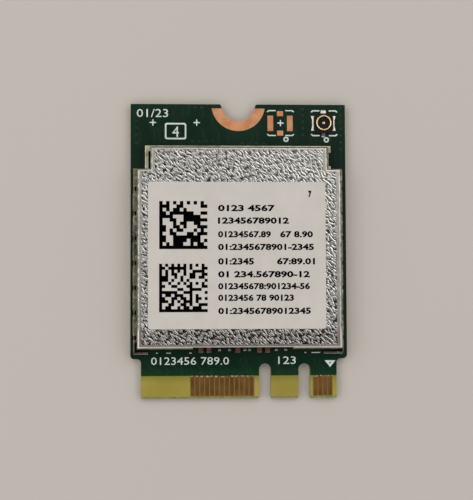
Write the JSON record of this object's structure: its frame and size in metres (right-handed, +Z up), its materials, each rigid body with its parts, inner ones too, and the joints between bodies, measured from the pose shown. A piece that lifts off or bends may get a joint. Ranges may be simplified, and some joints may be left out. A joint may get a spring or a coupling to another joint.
{
  "type": "network card",
  "caption": "Small plug-in wireless network card with a keyed edge tongue, a half-round screw notch, a shielded radio under a label, and a coaxial antenna receptacle.",
  "frame": {"origin": "middle of the board's underside, on the surface that the card lies on", "axes": "+Y towards the screw notch, +X to the right with the parts facing up, +Z up from the board"},
  "size_m": [0.022, 0.03, 0.0023],
  "materials": {
    "green_coating": "dark green coated board with bare laminate at the tongue",
    "gold_plating": "worn gold plating on the edge contacts",
    "bare_copper": "bare protected copper, satin",
    "black_moulding": "black moulded plastic",
    "receptacle_gilding": "thin pale gold plating, bright",
    "solder": "bright tin solder",
    "shield_metal": "tinned sheet metal with a coarse embossed grain",
    "label_paper": "pale warm grey label stock, satin",
    "ceramic_brown": "brown fired ceramic",
    "resistor_black": "black coated ceramic",
    "chip_moulding": "black chip moulding compound",
    "ferrite": "dark grey ferrite",
    "crystal_metal": "nickel-plated lid",
    "pale_ceramic": "pale fired ceramic"
  },
  "bodies": {
    "root": {"circuit_board": "green_coating", "edge_contacts_top": "gold_plating", "edge_contacts_bottom": "gold_plating", "ground_ring_top": "bare_copper", "ground_ring_bottom": "bare_copper", "spare_antenna_pads": "bare_copper", "receptacle_housing": "black_moulding", "receptacle_shell": "receptacle_gilding", "receptacle_pin": "receptacle_gilding", "receptacle_solder": "solder", "shield_frame": "shield_metal", "shield_lid": "shield_metal", "shield_solder": "solder", "identity_label": "label_paper", "window_capacitors": "ceramic_brown", "window_capacitor_ends": "solder", "window_resistors": "resistor_black", "window_resistor_ends": "solder", "radio_chip": "chip_moulding", "radio_chip_lands": "solder", "front_end_chips": "chip_moulding", "crystal_base": "pale_ceramic", "crystal_lid": "crystal_metal", "power_inductor": "ferrite", "power_inductor_ends": "solder", "memory_chip": "chip_moulding", "band_filters": "pale_ceramic", "decoupling_capacitors": "ceramic_brown", "decoupling_capacitor_ends": "solder", "chip_resistors": "resistor_black", "chip_resistor_ends": "solder"}
  },
  "joints": []
}
